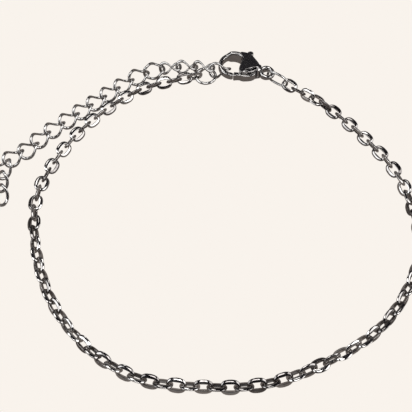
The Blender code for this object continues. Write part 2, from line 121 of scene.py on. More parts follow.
# %% A closed surface from a grid
def wrapped_faces(steps, corners, closed):
    """Quads of a grid that is closed round the wire and, if closed, round the path as well."""
    step = np.arange(steps if closed else steps - 1)[:, None]
    corner = np.arange(corners)[None, :]
    after, beside = (step + 1) % steps, (corner + 1) % corners
    quad = [step * corners + corner, after * corners + corner, after * corners + beside, step * corners + beside]
    return np.stack(np.broadcast_arrays(*quad), axis=-1).reshape(-1, 4)


def new_piece(name, points, faces, body, nodes):
    """A smooth mesh object at the origin that rides on a body and stands for the given nodes."""
    mesh = bpy.data.meshes.new(name)
    mesh.from_pydata(points.reshape(-1, 3).tolist(), [], faces)
    mesh.shade_smooth()
    piece = bpy.data.objects.new(name, mesh)
    bpy.context.collection.objects.link(piece)
    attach(piece, body)
    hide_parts(*nodes)
    return piece


def crisp_faces(piece, angle):
    """Flat faces stay flat and only the rounded edges bend: normals weighted by face area."""
    piece.data.set_sharp_from_angle(angle=math.radians(angle))
    weighted = piece.modifiers.new("flat faces", "WEIGHTED_NORMAL")
    weighted.keep_sharp = True
    weighted.weight = 80
    return piece


# %% A link as a surface of two parameters
def oval_reach(angle, half_length, half_width, squareness):
    """Centre to edge of a superellipse: one over the n-th root of |cos/a|^n + |sin/b|^n, n the squareness."""
    along = np.abs(np.cos(angle) / half_length) ** squareness
    across = np.abs(np.sin(angle) / half_width) ** squareness
    return (along + across) ** (-1.0 / squareness)


def rounded_corners(corners, radius_share, count):
    """A polygon's corners swapped for short curves: Bezier arcs between points a share along each edge."""
    corners = np.asarray(corners, float)
    before = corners + radius_share * (np.roll(corners, 1, axis=0) - corners)
    after = corners + radius_share * (np.roll(corners, -1, axis=0) - corners)
    t = np.linspace(0.0, 1.0, count)[None, :, None]
    curve = (1 - t) ** 2 * before[:, None] + 2 * t * (1 - t) * corners[:, None] + t**2 * after[:, None]
    return curve.reshape(-1, 2)


OUTER_SQUARENESS = 2.4


def link_surface(length, width, side_metal, end_metal, thickness, hole_squareness, section, steps):
    """Flat link about the origin, an array (step, corner, xyz).

    At each angle the wire's section lies between the hole's edge and the outer edge: plan distance is the hole's
    reach plus the section's outward share of the metal there, height its other share of half the thickness.
    """
    angle = np.arange(steps) * 2 * math.pi / steps
    outside = oval_reach(angle, length / 2, width / 2, OUTER_SQUARENESS)
    hole = oval_reach(angle, length / 2 - end_metal, width / 2 - side_metal, hole_squareness)
    reach = hole[:, None] + section[None, :, 0] * (outside - hole)[:, None]
    height = np.broadcast_to(section[None, :, 1] * thickness / 2, reach.shape)
    return np.stack([reach * np.cos(angle)[:, None], reach * np.sin(angle)[:, None], height], axis=-1)


# %% Named values stored on a piece's points
def store(piece, name, values):
    """One number for each point of the piece, for its material to read by name."""
    stored = piece.data.attributes.new(name, "FLOAT", "POINT")
    stored.data.foreach_set("value", np.asarray(values, np.float32).ravel())


# %% Smooth routes and link axes
ROUTE_MARKS = 4000


def smooth_curve(keys, values, at):
    """A smooth curve (Catmull-Rom) through values given at increasing keys, read at the numbers in at."""
    keys = np.asarray(keys, float)
    values = np.asarray(values, float)
    slopes = np.gradient(values, keys, axis=0)
    step = np.clip(np.searchsorted(keys, at, side="right") - 1, 0, len(keys) - 2)
    span = (keys[step + 1] - keys[step])[:, None]
    t = (np.asarray(at)[:, None] - keys[step][:, None]) / span
    start = values[step] * (2 * t**3 - 3 * t**2 + 1) + slopes[step] * span * (t**3 - 2 * t**2 + t)
    return start + values[step + 1] * (3 * t**2 - 2 * t**3) + slopes[step + 1] * span * (t**3 - t**2)


def even_places(points, pitch):
    """Places a pitch apart along a smooth curve through points, stretched a little so that they reach its end."""
    points = np.asarray(points, float)
    keys = np.concatenate([[0.0], np.cumsum(np.linalg.norm(np.diff(points, axis=0), axis=1))])
    fine = smooth_curve(keys, points, np.linspace(0.0, keys[-1], ROUTE_MARKS))
    run = np.concatenate([[0.0], np.cumsum(np.linalg.norm(np.diff(fine, axis=0), axis=1))])
    marks = np.linspace(0.0, run[-1], round(run[-1] / pitch) + 1)
    return np.stack([np.interp(marks, run, fine[:, axis]) for axis in range(points.shape[1])], axis=1)


def link_axes(aheads, rolls):
    """Axes of many links, an array (link, row, xyz): along the chain, across the link, square to its face.

    The level direction is up crossed with the way ahead; the link's width is turned from it by the roll.
    """
    along = aheads / np.linalg.norm(aheads, axis=1)[:, None]
    level = np.cross((0.0, 0.0, 1.0), along)
    level /= np.linalg.norm(level, axis=1)[:, None]
    upright = np.cross(along, level)
    across = np.cos(rolls)[:, None] * level + np.sin(rolls)[:, None] * upright
    return np.stack([along, across, np.cross(along, across)], axis=1)


def rest_heights(rings, rolls):
    """How high each rolled link's centre lies when its lowest point touches the table."""
    flat = rings.reshape(-1, 3)
    return -(flat[None, :, 1] * np.sin(rolls)[:, None] + flat[None, :, 2] * np.cos(rolls)[:, None]).min(axis=1)


# %% [markdown]
# The cable chain has ninety links, each turned a quarter turn from the last. They are cut from flattened wire and
# tumbled bright, so no two lie quite alike. One link's surface is repeated with all the links' axes at once, and a
# few degrees of seeded play about each axis keep the row of facets from shining like one machined strip.

# %% The cable chain's places
CLASP_AHEAD = np.array([math.cos(CLASP_TURN), math.sin(CLASP_TURN), 0.0])
CLASP_LEFT = np.array([-math.sin(CLASP_TURN), math.cos(CLASP_TURN), 0.0])
TAIL_CENTRE = CLASP_CENTRE + TAIL_DISTANCE * CLASP_AHEAD + np.array([0.0, 0.0, CLASP_HEIGHT / 2])


def step_in_plan(heading):
    """A unit step in plan."""
    return np.array([math.cos(heading), math.sin(heading)])


touching = RING_OUTER / 2 - RING_WIRE + LINK_LENGTH / 2 - LINK_END_METAL
chain_start = RING_CENTRE[:2] + (touching - FIRST_LINK_PLAY) * step_in_plan(FIRST_LINK_HEADING)
connector_start = TAIL_OUTER / 2 - TAIL_WIRE - LINK_CLEARANCE - CONNECTOR_WIRE
connector_hole_end = connector_start + CONNECTOR_LENGTH - CONNECTOR_WIRE
last_reach = connector_hole_end - LINK_CLEARANCE + LINK_LENGTH / 2 - LINK_END_METAL
chain_end = TAIL_CENTRE[:2] + last_reach * step_in_plan(CONNECTOR_HEADING)

# The wire's section: hole side first, then over the sloped flank to the outer edge and back underneath.
SECTION_CORNERS = [
    (0.0, -0.94), (0.0, 0.94), (0.09, 1.0), (0.66, 0.86), (1.0, 0.12), (1.0, -0.12), (0.66, -0.86), (0.09, -1.0),
]
CORNER_SHARE = 0.16
LINK_SECTION = rounded_corners(SECTION_CORNERS, CORNER_SHARE, 2)
LINK_STEPS = 60
HOLE_SQUARENESS = 4.3
CABLE_LINK = link_surface(LINK_LENGTH, LINK_WIDTH, LINK_SIDE_METAL, LINK_END_METAL, LINK_THICKNESS,
                          HOLE_SQUARENESS, LINK_SECTION, LINK_STEPS)

plan = even_places(np.vstack([chain_start, np.array(CHAIN_ROUTE) * MM, chain_end]), LINK_PITCH)
COUNT = len(plan)
base_roll = np.radians(np.interp(np.linspace(0.0, 1.0, COUNT), *np.array(CHAIN_ROLL).T))
chain_heights = np.maximum(rest_heights(CABLE_LINK, base_roll), rest_heights(CABLE_LINK, base_roll + math.pi / 2))
chain_centres = np.column_stack([plan, chain_heights])
chain_rolls = base_roll + np.where(np.arange(COUNT) % 2 == 0, math.pi / 2, 0.0)
print("cable links:", COUNT, "points each:", CABLE_LINK.shape[0] * CABLE_LINK.shape[1])

# %% The cable chain's two halves
play = np.random.default_rng(11)
LINK_PLAY = np.radians(2.5)
AIM_PLAY = LINK_PLAY * 0.5
aheads = np.gradient(chain_centres, axis=0)
aheads /= np.linalg.norm(aheads, axis=1)[:, None]
aheads += play.normal(0.0, AIM_PLAY, aheads.shape) * (1.0, 1.0, 0.6)
turned = chain_rolls + play.normal(0.0, LINK_PLAY, COUNT)
chain_axes = link_axes(aheads, turned)
chain_shapes = np.einsum("scx,lxy->lscy", CABLE_LINK, chain_axes)
sunk = np.maximum(0.0, -(chain_shapes[..., 2].min(axis=(1, 2)) + chain_centres[:, 2]))
chain_points = chain_shapes + (chain_centres + SHIFT)[:, None, None, :]
chain_points[..., 2] += sunk[:, None, None]
print("most that play would sink a link, mended, in mm:", round(sunk.max() / MM, 3))


def chain_half(name, first, last):
    """The links from first up to last as one mesh, each side of a link with a number of its own for the finish."""
    points = chain_points[first:last]
    links, steps, corners = points.shape[:3]
    faces = wrapped_faces(steps, corners, True)
    every = faces[None] + (np.arange(links) * steps * corners)[:, None, None]
    piece = new_piece(name + "_links", points, every.reshape(-1, 4).tolist(), "root", [name])
    left_side = (CABLE_LINK[..., 1] > 0).ravel()
    tone = np.where(left_side[None, :], play.random((links, 1)), play.random((links, 1)))
    store(piece, "tone", tone)
    crisp_faces(piece, 50.0)
    print(name, "links:", links, "faces:", len(piece.data.polygons))
    return piece


HALF = COUNT // 2
chain_left = chain_half("chain_left", 0, HALF)
chain_right = chain_half("chain_right", HALF, COUNT)

# %% [markdown]
# The extension chain's links are round wire bent to an oval and then twisted, so that the chain lies flat. The twist
# is a turn about the link's length that grows as a sine towards each end. The first few links, bunched up beside
# the clasp, are twisted the other way.

# %% Twisted extension links
CURB_SIDES = 14
turn = np.arange(CURB_SIDES) * 2 * math.pi / CURB_SIDES
ROUND_SECTION = np.column_stack([0.5 - 0.5 * np.cos(turn), np.sin(turn)])


def twisted(rings, hole_half_length, end_twist):
    """Points turned about the link's length by end_twist times the sine of their share of the half length."""
    share = np.clip(rings[..., 0] / hole_half_length, -1.0, 1.0)
    angle = end_twist * np.sin(share * math.pi / 2)
    across = rings[..., 1] * np.cos(angle) - rings[..., 2] * np.sin(angle)
    height = rings[..., 1] * np.sin(angle) + rings[..., 2] * np.cos(angle)
    return np.stack([rings[..., 0], across, height], axis=-1)


CURB_STEPS = 72
CURB_SQUARENESS = 2.36
flat_curb = link_surface(CURB_LENGTH, CURB_WIDTH, CURB_WIRE, CURB_WIRE, CURB_WIRE, CURB_SQUARENESS, ROUND_SECTION,
                         CURB_STEPS)
curb_hole = CURB_LENGTH / 2 - CURB_WIRE
CURB_LINK = twisted(flat_curb, curb_hole, CURB_END_TWIST)
CURB_FIRST_LINK = twisted(flat_curb, curb_hole, -CURB_END_TWIST)
route = np.array(EXTENDER_ROUTE)
numbers = np.arange(0, int(route[-1, 0]) + 1)
curb_plan = smooth_curve(route[:, 0], route[:, 1:4] * MM, numbers)
curb_rolls = np.radians(np.interp(numbers, route[:, 0], route[:, 4]))
is_first = numbers <= CURB_FIRST_LINKS
curb_heights = np.where(is_first, rest_heights(CURB_FIRST_LINK, curb_rolls), rest_heights(CURB_LINK, curb_rolls))
curb_centres = np.column_stack([curb_plan[:, :2], curb_plan[:, 2] + curb_heights])
curb_axes = link_axes(np.gradient(curb_centres, axis=0), curb_rolls)
curb_shapes = np.where(is_first[:, None, None, None], CURB_FIRST_LINK, CURB_LINK)
curb_points = np.einsum("lscx,lxy->lscy", curb_shapes, curb_axes) + (curb_centres + SHIFT)[:, None, None, :]
curb_faces = wrapped_faces(*CURB_LINK.shape[:2], True).tolist()
extender_links = [
    new_piece("curb_link_%02d" % number, curb_points[number], curb_faces, "root",
              ["extender_link_%02d" % number])
    for number in numbers[1:]
]
print("extension links:", len(extender_links), "faces each:", len(curb_faces))

# %% [markdown]
# The jump ring is a plain ring of round wire, sprung open and closed again. It shows a fine dark seam at the front,
# so the wire's radius dips there by a narrow bell curve of the angle.


# %% The jump ring
SEAM_WIDTH = 0.035


def ring_surface(centre, outer, wire, seam_angle, seam_depth, steps, sides):
    """A level torus: the wire's circle carried round, its radius less by seam_depth times a narrow bell curve.

    The first step falls right on the seam, and the steps stand closer together opposite to it.
    """
    around = np.arange(steps) * 2 * math.pi / steps
    around = seam_angle + math.pi + (around - math.pi) * (0.35 + 0.65 * np.abs(around / math.pi - 1.0) ** 0.5)
    across = np.arange(sides) * 2 * math.pi / sides
    offset = np.angle(np.exp(1j * (around - seam_angle)))
    radius = wire / 2 * (1.0 - seam_depth * np.exp(-(offset / SEAM_WIDTH) ** 2))
    reach = (outer - wire) / 2 + radius[:, None] * np.cos(across)[None, :]
    height = radius[:, None] * np.sin(across)[None, :]
    outward = np.column_stack([np.cos(around), np.sin(around)])
    points = np.concatenate([reach[..., None] * outward[:, None, :], height[..., None]], axis=-1)
    return points + centre


RING_SEAM = math.radians(-52.0)
SEAM_DEPTH = 0.30
RING_STEPS, RING_SIDES = 96, 20
ring_points = ring_surface(RING_CENTRE + SHIFT, RING_OUTER, RING_WIRE, RING_SEAM, SEAM_DEPTH, RING_STEPS, RING_SIDES)
ring_faces = wrapped_faces(RING_STEPS, RING_SIDES, True)[:, ::-1].tolist()
jump_ring = new_piece("jump_ring_wire", ring_points, ring_faces, "root", ["jump_ring"])
print("jump ring faces:", len(jump_ring.data.polygons))

# %% [markdown]
# The connector is one more oval of thin round wire. It runs from the clasp's tail ring to the chain's last link, so
# its direction is worked out from those two places.

# %% The connector link
last_centre = chain_centres[-1]
ahead = last_centre + (0.0, 0.0, CONNECTOR_LIFT) - TAIL_CENTRE
reach = connector_start + CONNECTOR_LENGTH / 2
middle = TAIL_CENTRE + ahead / np.linalg.norm(ahead) * reach
CONNECTOR_STEPS = 80
flat_connector = link_surface(CONNECTOR_LENGTH, CONNECTOR_WIDTH, CONNECTOR_WIRE, CONNECTOR_WIRE, CONNECTOR_WIRE,
                              HOLE_SQUARENESS, ROUND_SECTION, CONNECTOR_STEPS)
connector_axes = link_axes(ahead[None, :], np.array([CONNECTOR_ROLL]))[0]
connector_faces = wrapped_faces(CONNECTOR_STEPS, CURB_SIDES, True).tolist()
connector = new_piece("connector_wire", flat_connector @ connector_axes + middle + SHIFT, connector_faces, "root",
                      ["connector_link"])
print("connector middle in mm:", np.round(middle / MM, 2))

# %% [markdown]
# The lobster clasp is cast: a hook that sweeps round from the spine, two plates with the lever between them, a neck
# and a tail ring. Its plan is drawn about the hook's centre with the tail along x. Hook and tail ring are sections
# carried along arcs. Plates and lever are rounded slabs: one outline, drawn in by a quarter circle at each edge.


# %% Shapes for the clasp
SHOULDER_FADE = 0.5 * MM
SHOULDER_BLEND = 2.5
BEND_STEPS = 5
OUTLINE_MARKS = 1200
CHORD_POWER = 0.7


def clasp_to_frame(points):
    """Points of the clasp's own plan set on the table in the frame."""
    flat = np.asarray(points, float)
    placed = flat[..., :1] * CLASP_AHEAD + flat[..., 1:2] * CLASP_LEFT + flat[..., 2:] * (0.0, 0.0, 1.0)
    return placed + CLASP_CENTRE + SHIFT


def smooth_outline(points, count):
    """A closed smooth curve (Catmull-Rom) through the outline's points in mm, read at even steps of its length."""
    closed = np.vstack([points[-3:], points, points[:3]]) * MM
    keys = np.concatenate([[0.0], np.cumsum(np.linalg.norm(np.diff(closed, axis=0), axis=1) ** CHORD_POWER)])
    marks = np.linspace(keys[3], keys[-3], OUTLINE_MARKS)
    fine = smooth_curve(keys, closed, marks)
    run = np.concatenate([[0.0], np.cumsum(np.linalg.norm(np.diff(fine, axis=0), axis=1))])
    steps = np.arange(count) / count * run[-1]
    return np.column_stack([np.interp(steps, run, fine[:, 0]), np.interp(steps, run, fine[:, 1])])


def rounded_slab(outline, low, high, edge, shoulder=None):
    """A slab between two heights over a closed outline, counter-clockwise, its edges quarter circles of radius edge.

    Ring k is the outline moved inwards by edge times one minus the sine of its angle on the quarter circle. A
    shoulder is two points and a drop: outline points beyond the line between them are drawn back to it on the way
    up through the drop, so the top ends at the line and a slope leads down to the outline. It fades past its end.
    """
    forward = np.roll(outline, -1, axis=0) - np.roll(outline, 1, axis=0)
    normal = np.column_stack([forward[:, 1], -forward[:, 0]])
    normal /= np.linalg.norm(normal, axis=1)[:, None]
    bend = np.linspace(0.0, math.pi / 2, BEND_STEPS)
    inset = np.concatenate([edge * (1 - np.sin(bend)), edge * (1 - np.sin(bend[::-1]))])
    height = np.concatenate([low + edge * (1 - np.cos(bend)), high - edge * (1 - np.cos(bend[::-1]))])
    rings = outline[None, :, :] - normal[None, :, :] * inset[:, None, None]
    tall = np.broadcast_to(height[:, None], rings.shape[:2]).copy()
    if shoulder is not None:
        start, stop, drop = shoulder
        along = (stop - start) / np.linalg.norm(stop - start)
        outward = np.array([along[1], -along[0]])
        past_end = (outline - stop) @ along / SHOULDER_FADE
        beyond = np.maximum(0.0, (outline - start) @ outward) * np.clip(1.0 - past_end, 0.0, 1.0)
        share = np.clip(beyond / (SHOULDER_BLEND * edge), 0.0, 1.0)[None, :]
        rise = np.linspace(0.0, 1.0, BEND_STEPS)[:, None]
        slope = outline[None] - outward * (beyond[None, :] * rise)[..., None]
        upper = slice(BEND_STEPS, None)
        rings[upper] = (1 - share[..., None]) * rings[upper] + share[..., None] * slope
        tall[upper] = (1 - share) * tall[upper] + share * (high - drop * (1 - rise))
    count, rows = len(outline), len(inset)
    walls = wrapped_faces(rows, count, False)[:, ::-1].tolist()
    caps = [list(range(count))[::-1], list(range((rows - 1) * count, rows * count))]
    return np.concatenate([rings, tall[..., None]], axis=-1).reshape(-1, 3), walls + caps


def swept_bar(centres, outwards, widths, heights, squareness, sides):
    """A superellipse section carried along level centres: widths across, heights up, both ends closed flat."""
    around = np.arange(sides) * 2 * math.pi / sides
    reach = oval_reach(around, 1.0, 1.0, squareness)
    wide = (reach * np.cos(around))[None, :, None] * outwards[:, None, :] * (widths / 2)[:, None, None]
    points = centres[:, None, :] + wide
    points[..., 2] += (reach * np.sin(around))[None, :] * (heights / 2)[:, None]
    steps = len(centres)
    caps = [list(range(sides)), [(steps - 1) * sides + side for side in range(sides)][::-1]]
    return points.reshape(-1, 3), wrapped_faces(steps, sides, False)[:, ::-1].tolist() + caps


def joined(shapes):
    """Several closed shapes as one list of points and faces, the face numbers moved on by the points before."""
    starts = np.cumsum([0] + [len(points) for points, _ in shapes])
    faces = [[corner + int(start) for corner in face] for start, (_, some) in zip(starts, shapes) for face in some]
    return np.concatenate([points for points, _ in shapes]), faces


# %% The clasp's hook and tail ring
HOOK_RADIUS = 2.60 * MM
HOOK_BAND = 0.80 * MM
HOOK_START = 58.0
HOOK_TIP = 281.6
HOOK_STEPS, HOOK_SIDES = 72, 32
HOOK_SQUARENESS = 4.2
HOOK_TALL = [(0.0, 2.26), (0.26, 2.12), (0.34, 1.30), (1.0, 1.15)]
TIP_START = 0.955
TIP_SPAN = 0.0455
share = np.linspace(0.0, 1.0, HOOK_STEPS)
hook_angle = np.radians(HOOK_START + (HOOK_TIP - HOOK_START) * share)
tip_round = np.sqrt(1.0 - np.clip((share - TIP_START) / TIP_SPAN, 0.0, 1.0) ** 2)
outward = np.column_stack([np.cos(hook_angle), np.sin(hook_angle), np.zeros(HOOK_STEPS)])
band = HOOK_BAND * (0.94 + 0.06 * np.cos(share * 2 * math.pi)) * (0.7 + 0.3 * tip_round)
tall = np.interp(share, *np.array(HOOK_TALL).T) * MM * (0.7 + 0.3 * tip_round)
centres = outward * (HOOK_RADIUS - HOOK_BAND / 2) + (0.0, 0.0, CLASP_HEIGHT / 2)
hook = swept_bar(centres, outward, band, tall, HOOK_SQUARENESS, HOOK_SIDES)

TAIL_STEPS, TAIL_SIDES = 64, 20
tail_angle = np.arange(TAIL_STEPS) * 2 * math.pi / TAIL_STEPS
outward = np.column_stack([np.cos(tail_angle), np.sin(tail_angle), np.zeros(TAIL_STEPS)])
tail_middle = outward * (TAIL_OUTER - TAIL_WIRE) / 2 + (TAIL_DISTANCE, 0.0, CLASP_HEIGHT / 2)
around = np.arange(TAIL_SIDES) * 2 * math.pi / TAIL_SIDES
tail_wide = (np.cos(around) * TAIL_WIRE / 2)[None, :, None] * outward[:, None, :]
tail_points = tail_middle[:, None, :] + tail_wide
away = 0.5 - outward[:, :2] @ step_in_plan(CONNECTOR_HEADING - CLASP_TURN) / 2
tail_tall = TAIL_HEIGHT + (TAIL_ROOT_HEIGHT - TAIL_HEIGHT) * away
tail_points[..., 2] += np.sin(around)[None, :] * tail_tall[:, None] / 2
tail = (tail_points.reshape(-1, 3), wrapped_faces(TAIL_STEPS, TAIL_SIDES, True)[:, ::-1].tolist())
print("hook faces:", len(hook[1]), "tail faces:", len(tail[1]))

# %% The clasp's plates, spine and neck
PLATE = 0.45 * MM
PLATE_OUTLINE = np.array([
    (1.22, 1.30), (1.20, 0.0), (1.20, -1.20), (1.40, -1.70), (2.10, -1.85), (3.10, -1.42), (3.85, -0.85),
    (4.30, -0.55), (4.62, -0.40), (4.62, 0.40), (4.30, 0.55), (3.95, 0.95), (3.35, 1.55), (2.60, 2.20),
    (1.95, 2.50), (1.20, 2.56), (0.62, 2.44), (0.60, 2.12), (0.86, 1.78),
])
plate_plan = smooth_outline(PLATE_OUTLINE, 110)
lower_plate = rounded_slab(plate_plan, 0.0, PLATE, 0.12 * MM)
SHOULDER = (np.array([1.62, -1.94]) * MM, np.array([3.93, 0.12]) * MM, PLATE * 0.8)
upper_plate = rounded_slab(plate_plan, CLASP_HEIGHT - PLATE, CLASP_HEIGHT, 0.08 * MM, SHOULDER)
SPINE_OUTLINE = np.array([(0.62, 2.14), (0.90, 1.86), (1.10, 1.75), (1.12, 2.45), (0.95, 2.48), (0.66, 2.40)])
SPINE_INSET = 0.2 * MM
spine = rounded_slab(smooth_outline(SPINE_OUTLINE, 40), SPINE_INSET, CLASP_HEIGHT - SPINE_INSET, 0.05 * MM)
NECK_STEPS, NECK_SIDES = 14, 24
NECK_SQUARENESS = 4.0
NECK_START, NECK_LENGTH = 4.18 * MM, 0.62 * MM
NECK_WIDTHS = [1.06 * MM, 0.86 * MM]
neck_share = np.linspace(0.0, 1.0, NECK_STEPS)
neck_along = NECK_START + NECK_LENGTH * neck_share
neck_centres = np.column_stack([neck_along, np.zeros(NECK_STEPS), np.full(NECK_STEPS, CLASP_HEIGHT / 2)])
neck_wide = np.interp(neck_share, [0.0, 1.0], NECK_WIDTHS)
neck_tall = TAIL_HEIGHT + (CLASP_HEIGHT * 0.98 - TAIL_HEIGHT) * np.cos(neck_share * math.pi / 2) ** 1.5
neck = swept_bar(neck_centres, np.tile([0.0, -1.0, 0.0], (NECK_STEPS, 1)), neck_wide, neck_tall, NECK_SQUARENESS,
                 NECK_SIDES)
RIVET = np.array([2.90, -0.70]) * MM
RIVET_RADIUS = 0.35 * MM
RIVET_DROP = 0.30 * MM
RIVET_SIDES = 32
rivet_angle = np.arange(RIVET_SIDES) * 2 * math.pi / RIVET_SIDES
rivet_plan = RIVET + RIVET_RADIUS * np.column_stack([np.cos(rivet_angle), np.sin(rivet_angle)])
rivet = rounded_slab(rivet_plan, -0.01 * MM, CLASP_HEIGHT - RIVET_DROP, 0.05 * MM)
print("plate edge points:", len(plate_plan), "neck length in mm:", round(NECK_LENGTH / MM, 2))

# %% [markdown]
# Beside the lever the plate's top ends in a slope, and on the slope lies a bright oblong rim round a black slit. The
# rim is a torus along a superellipse, tilted with the slope. The casting's points carry a number that tells the steel
# where to be plain, where to double the rim's tint as a painted highlight and where to paint a sheet in the slit
# black as painted shade.

# %% The bright rim round the slit beside the lever
RIM_FROM = np.array([1.98, -1.70]) * MM
RIM_TO = np.array([4.30, -0.02]) * MM
rim_run = RIM_TO - RIM_FROM
rim_unit = rim_run / np.linalg.norm(rim_run)
rim_out = np.array([rim_unit[1], -rim_unit[0]])
RIM_STEPS, RIM_SIDES = 72, 14
RIM_SQUARENESS = 2.6
RIM_HALF_WIDTH = 0.30 * MM
RIM_WIRE = 0.15 * MM
RIM_HEIGHT = 2.21 * MM
SLIT_DEPTH = 0.06 * MM
around = np.arange(RIM_STEPS) * 2 * math.pi / RIM_STEPS
rim_reach = oval_reach(around, np.linalg.norm(rim_run) / 2 - RIM_WIRE, RIM_HALF_WIDTH, RIM_SQUARENESS)
RIM_TILT = math.radians(17.0)
rim_axes = np.array([[*rim_unit, 0.0], [*rim_out * math.cos(RIM_TILT), -math.sin(RIM_TILT)]])
rim_rays = np.cos(around)[:, None] * rim_axes[0] + np.sin(around)[:, None] * rim_axes[1]
rim_normal = np.cross(rim_axes[0], rim_axes[1])
rim_centre = np.append((RIM_FROM + RIM_TO) / 2, RIM_HEIGHT)
rim_turn = np.arange(RIM_SIDES) * 2 * math.pi / RIM_SIDES
rim_plan = rim_rays[:, None, :] * (rim_reach[:, None] + RIM_WIRE * np.cos(rim_turn)[None, :])[..., None]
rim_points = rim_centre + rim_plan + rim_normal * (RIM_WIRE * np.sin(rim_turn))[None, :, None]
rim = (rim_points.reshape(-1, 3), wrapped_faces(RIM_STEPS, RIM_SIDES, True).tolist())
# The slit is a thin sheet just under the rim, which the steel paints black: painted shade in the slot.
slit_rings = [rim_centre + rim_rays * rim_reach[:, None] * 0.98 + rim_normal * step for step in (-SLIT_DEPTH, 0.0)]
slit_shade_sheet = (np.concatenate(slit_rings), wrapped_faces(2, RIM_STEPS, False).tolist()
        + [list(range(RIM_STEPS)), list(range(RIM_STEPS, 2 * RIM_STEPS))[::-1]])
print("rim length in mm:", round(np.linalg.norm(rim_run) / MM, 2), "points:", len(rim[0]))

# %% The casting in one piece
# Painted light on the casting: plain tint, the rim's tint doubled as a painted highlight, the slit's sheet black as
# painted shade.
PLAIN, PAINTED_HIGHLIGHT, PAINTED_SHADE = 0.5, 1.0, 0.0
plain_shapes = [hook, tail, lower_plate, upper_plate, spine, neck, rivet]
clasp_shapes = plain_shapes + [rim, slit_shade_sheet]
clasp_painted_light = [PLAIN] * len(plain_shapes) + [PAINTED_HIGHLIGHT, PAINTED_SHADE]
clasp_points, clasp_faces = joined(clasp_shapes)
clasp_body = new_piece("clasp_casting", clasp_to_frame(clasp_points), clasp_faces, "root",
                       ["clasp_body"])
store(clasp_body, "painted_light", np.repeat(clasp_painted_light, [len(points) for points, _ in clasp_shapes]))
crisp_faces(clasp_body, 40.0)
print("clasp body faces:", len(clasp_body.data.polygons))

# %% [markdown]
# The lever is one flat casting: the gate that closes the hook, the heel round the rivet, and the thumb tab beyond the
# plates. It turns about the rivet, so it rides on the lever's body and stays between the plates.

# %% The lever
LEVER_OUTLINE = np.array([
    (0.62, -2.52), (1.05, -2.38), (1.50, -2.26), (1.95, -2.26), (2.90, -2.12), (3.65, -1.72), (4.00, -1.25),
    (3.93, -0.55), (3.55, 0.00), (3.10, 0.45), (2.72, 1.40), (2.47, 2.45), (2.50, 2.62), (2.61, 2.85), (2.58, 3.32),
    (2.30, 3.53), (1.86, 3.45), (1.60, 3.08), (1.60, 2.78), (1.70, 2.50), (2.02, 1.55), (2.10, 0.50), (2.00, -0.60),
    (1.75, -1.20), (1.35, -1.58), (0.95, -1.66), (0.55, -1.74), (0.50, -2.15),
])
LEVER_LOW, LEVER_HIGH = 0.53 * MM, 1.87 * MM
LEVER_EDGE = 0.14 * MM
lever_plan = smooth_outline(LEVER_OUTLINE, 150)
lever_points, lever_faces = rounded_slab(lever_plan, LEVER_LOW, LEVER_HIGH, LEVER_EDGE)
clasp_lever = new_piece("clasp_gate", clasp_to_frame(lever_points), lever_faces, "lever",
                        ["clasp_lever"])
store(clasp_lever, "painted_light", np.full(len(lever_points), PLAIN))
crisp_faces(clasp_lever, 40.0)
print("lever faces:", len(clasp_lever.data.polygons))

# %% [markdown]
# The metal is dark polished steel: a mirror with a slightly warm grey tint, fine tumbling marks and faint smudges.
# Everything is mixed from noise on object coordinates. Each side of a cable link also has a number that shifts its
# tint, because the real links were polished loose and not as one strip.


# %% Node helpers
def add_node(tree, kind, **values):
    """A node with some of its properties or its sockets set."""
    node = tree.nodes.new(kind)
    for key, value in values.items():
        if key in node.inputs:
            node.inputs[key].default_value = value
        else:
            setattr(node, key, value)
    return node


def ramp(tree, source, stops):
    """A colour ramp on a source socket: pairs of place and grey or colour."""
    node = tree.nodes.new("ShaderNodeValToRGB")
    elements = node.color_ramp.elements
    while len(elements) < len(stops):
        elements.new(0.5)
    for element, (place, value) in zip(elements, stops):
        element.position = place
        element.color = (value, value, value, 1.0) if isinstance(value, float) else (*value, 1.0)
    tree.links.new(source, node.inputs["Fac"])
    return node


def scaled(tree, source, factor, addition=0.0):
    """A number times a factor plus an addition."""
    node = add_node(tree, "ShaderNodeMath", operation="MULTIPLY_ADD")
    tree.links.new(source, node.inputs[0])
    node.inputs[1].default_value = factor
    node.inputs[2].default_value = addition
    return node.outputs[0]


def added(tree, first, second):
    """The sum of two numbers."""
    node = add_node(tree, "ShaderNodeMath", operation="ADD")
    tree.links.new(first, node.inputs[0])
    tree.links.new(second, node.inputs[1])
    return node.outputs[0]


def spread_range(tree, source, low, high, to_low, to_high):
    """A number between low and high brought between two others, and held there."""
    node = add_node(tree, "ShaderNodeMapRange", **{"From Min": low, "From Max": high, "To Min": to_low,
                                                   "To Max": to_high})
    tree.links.new(source, node.inputs["Value"])
    return node.outputs["Result"]


# %% Polished dark steel
SLOW_NOISE, MIDDLE_NOISE, FINE_NOISE = 900.0, 2600.0, 9000.0
GLOSS_SPREAD = 1.8
RIM_SOFTNESS = 0.22


